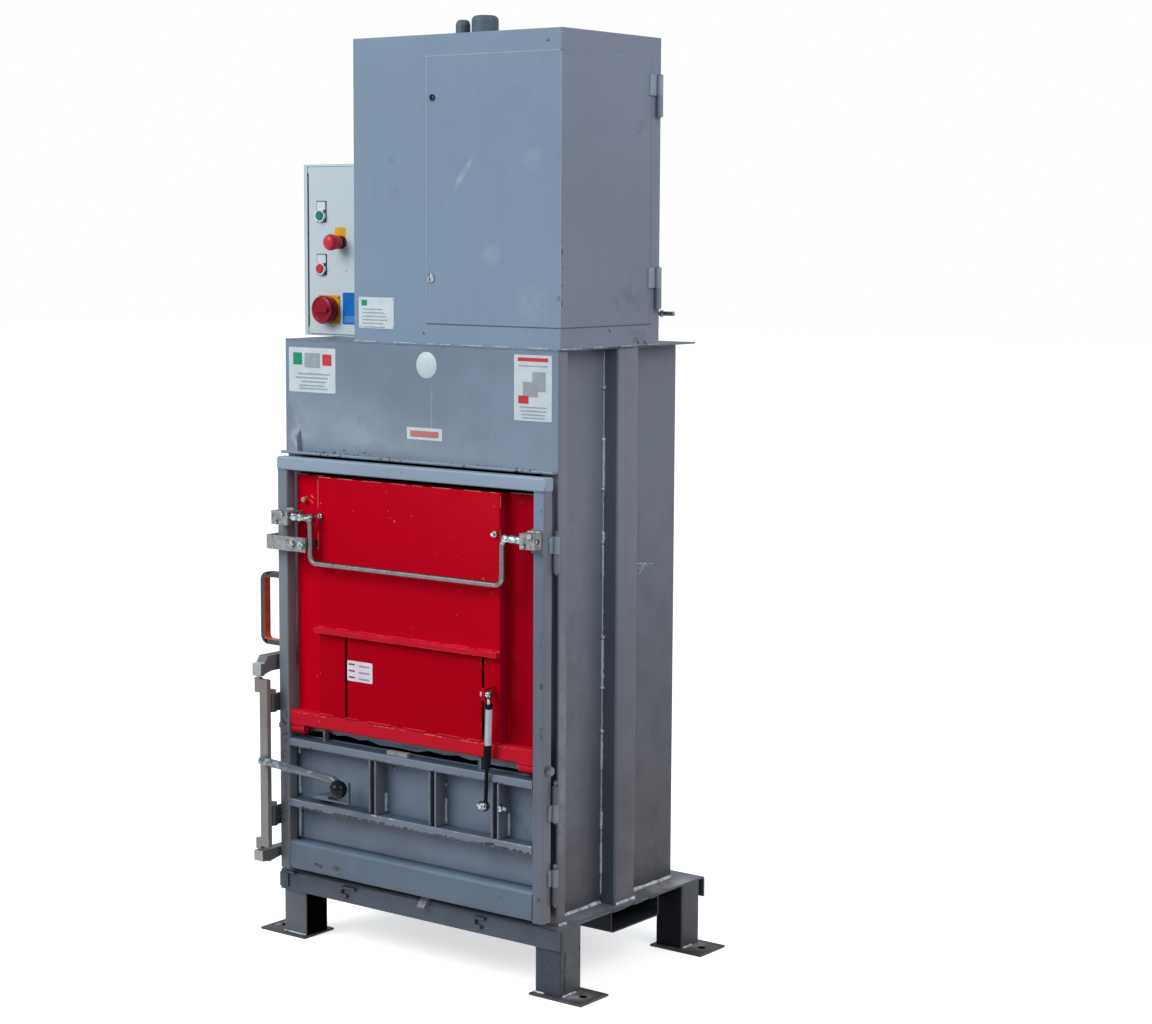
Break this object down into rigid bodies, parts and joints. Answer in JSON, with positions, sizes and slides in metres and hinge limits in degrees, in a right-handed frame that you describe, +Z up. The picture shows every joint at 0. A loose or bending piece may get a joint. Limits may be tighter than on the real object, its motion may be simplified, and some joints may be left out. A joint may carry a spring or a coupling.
{
  "type": "recycling baler",
  "caption": "Upright hydraulic press that bales packaging: welded chamber with hinged door and tipping red flap, sheet-metal hood over the cylinder, side control box.",
  "frame": {"origin": "on the floor, at the centre of the four anchor holes", "axes": "+X to the machine's right as seen from behind the operator who faces the doors, +Y from the door side to the rear, +Z up; the doors face -Y"},
  "size_m": [0.977, 0.676, 2.157],
  "materials": {
    "body_paint": "semi-gloss blue-grey paint, chipped along edges",
    "hood_paint": "semi-gloss blue-grey sheet-metal paint",
    "flap_paint": "gloss signal-red paint with chips",
    "box_paint": "light grey textured enclosure paint",
    "dark_paint": "black semi-gloss paint",
    "bare_steel": "plain zinc-plated steel",
    "galvanised": "dull galvanised steel",
    "chrome_rod": "hard chrome",
    "dark_plastic": "matt black",
    "pale_plastic": "matt off-white",
    "green_plastic": "gloss",
    "red_plastic": "gloss"
  },
  "bodies": {
    "frame": {"platform": "body_paint", "fork_channel": "body_paint", "leg_front_left": "body_paint", "leg_front_right": "body_paint", "leg_rear_left": "body_paint", "leg_rear_right": "body_paint", "foot_plates": "body_paint", "chamber_walls": "body_paint", "front_posts": "body_paint", "side_stiffeners": "body_paint", "front_header": "body_paint", "roof_plate": "body_paint", "keeper_arms": "body_paint", "door_hinge_seats": "body_paint", "door_hinge_pins": "body_paint", "hood_shell": "hood_paint", "press_cylinder": "dark_paint", "cylinder_cap": "dark_paint", "breather_cap": "dark_plastic", "oil_tank": "body_paint", "power_pack": "dark_paint", "oil_pipes": "bare_steel", "control_box": "box_paint"},
    "door": {"door_stile_left": "body_paint", "door_stile_right": "body_paint", "door_top_rail": "body_paint", "door_bottom_rail": "body_paint", "lower_panel": "body_paint", "door_ledges": "body_paint", "strap_guide_1": "body_paint", "strap_guide_2": "body_paint", "strap_guide_3": "body_paint", "cross_bar": "body_paint", "buffer_block": "pale_plastic", "door_handle": "body_paint", "door_hinge_leaves": "body_paint", "flap_pivot_bolts": "bare_steel", "lock_brackets": "body_paint"},
    "flap": {"flap_panel": "flap_paint", "flap_cover": "flap_paint", "flap_beam": "flap_paint", "stop_bar": "galvanised", "bail_bearings": "galvanised", "flap_bolts": "bare_steel"},
    "bail": {"bail_handle": "bare_steel"},
    "strut_case": {"strut_tube": "dark_paint"},
    "strut_piston": {"strut_rod": "dark_paint"},
    "lock": {"lock_bar": "body_paint", "lock_lever": "dark_paint"},
    "hatch": {"hood_hatch": "hood_paint"},
    "hatch_lock_high": {"hatch_lock_upper": "dark_plastic"},
    "hatch_lock_low": {"hatch_lock_lower": "bare_steel"},
    "press": {"piston_rod": "chrome_rod", "press_platen": "body_paint"},
    "box_door": {"control_door": "box_paint", "control_fittings": "dark_plastic"},
    "button_start": {"green_button": "green_plastic"},
    "button_halt": {"red_button": "red_plastic"},
    "stop_button": {"emergency_stop": "red_plastic"},
    "main_switch": {"switch_knob": "red_plastic"}
  },
  "joints": [
    {"name": "main_door", "type": "hinge", "parent": "frame", "child": "door", "pos_m": [0.404, -0.275, 0.62], "axis": [0, 0, 1], "range_deg": [0, 110]},
    {"name": "flap_tilt", "type": "hinge", "parent": "door", "child": "flap", "pos_m": [0, -0.292, 0.513], "axis": [1, 0, 0], "range_deg": [0, 60], "stiffness_Nm_per_rad": 28, "springref_deg": -20.05},
    {"name": "bail_swing", "type": "hinge", "parent": "flap", "child": "bail", "pos_m": [0, -0.331, 1.016], "axis": [-1, 0, 0], "range_deg": [0, 95]},
    {"name": "strut_swing", "type": "hinge", "parent": "flap", "child": "strut_case", "pos_m": [0.268, -0.335, 0.672], "axis": [1, 0, 0], "range_deg": [-21.06, 0]},
    {"name": "strut_slide", "type": "slide", "parent": "strut_case", "child": "strut_piston", "axis": [0.1079, -0.0886, 0.9902], "range_m": [0, 0.0555]},
    {"name": "door_lock", "type": "hinge", "parent": "door", "child": "lock", "pos_m": [-0.39, -0.331, 0.44], "axis": [0, 0, -1], "range_deg": [0, 95]},
    {"name": "hatch_hinge", "type": "hinge", "parent": "frame", "child": "hatch", "pos_m": [0.414, 0.082, 1.758], "axis": [0, 0, 1], "range_deg": [0, 110]},
    {"name": "hatch_lock_high_turn", "type": "hinge", "parent": "hatch", "child": "hatch_lock_high", "pos_m": [0.048, -0.26, 1.961], "axis": [0, 1, 0], "range_deg": [0, 90]},
    {"name": "hatch_lock_low_turn", "type": "hinge", "parent": "hatch", "child": "hatch_lock_low", "pos_m": [0.043, -0.26, 1.568], "axis": [0, 1, 0], "range_deg": [0, 90]},
    {"name": "press_stroke", "type": "slide", "parent": "frame", "child": "press", "axis": [0, 0, -1], "range_m": [0, 0.6]},
    {"name": "control_door_hinge", "type": "hinge", "parent": "frame", "child": "box_door", "pos_m": [-0.478, -0.099, 1.62], "axis": [0, 0, -1], "range_deg": [0, 105]},
    {"name": "start_press", "type": "slide", "parent": "box_door", "child": "button_start", "axis": [0, 1, 0], "range_m": [0, 0.004], "stiffness_N_per_m": 500, "springref_m": -0.002},
    {"name": "halt_press", "type": "slide", "parent": "box_door", "child": "button_halt", "axis": [0, 1, 0], "range_m": [0, 0.004], "stiffness_N_per_m": 500, "springref_m": -0.002},
    {"name": "emergency_press", "type": "slide", "parent": "box_door", "child": "stop_button", "axis": [0, 1, 0], "range_m": [0, 0.004]},
    {"name": "switch_turn", "type": "hinge", "parent": "box_door", "child": "main_switch", "pos_m": [-0.4095, -0.126, 1.484], "axis": [0, 1, 0], "range_deg": [0, 90]}
  ],
  "couplings": [
    {"joint": "strut_swing", "follows": "flap_tilt", "ratio": -0.346},
    {"joint": "strut_slide", "follows": "flap_tilt", "m_per_rad": 0.05253}
  ]
}
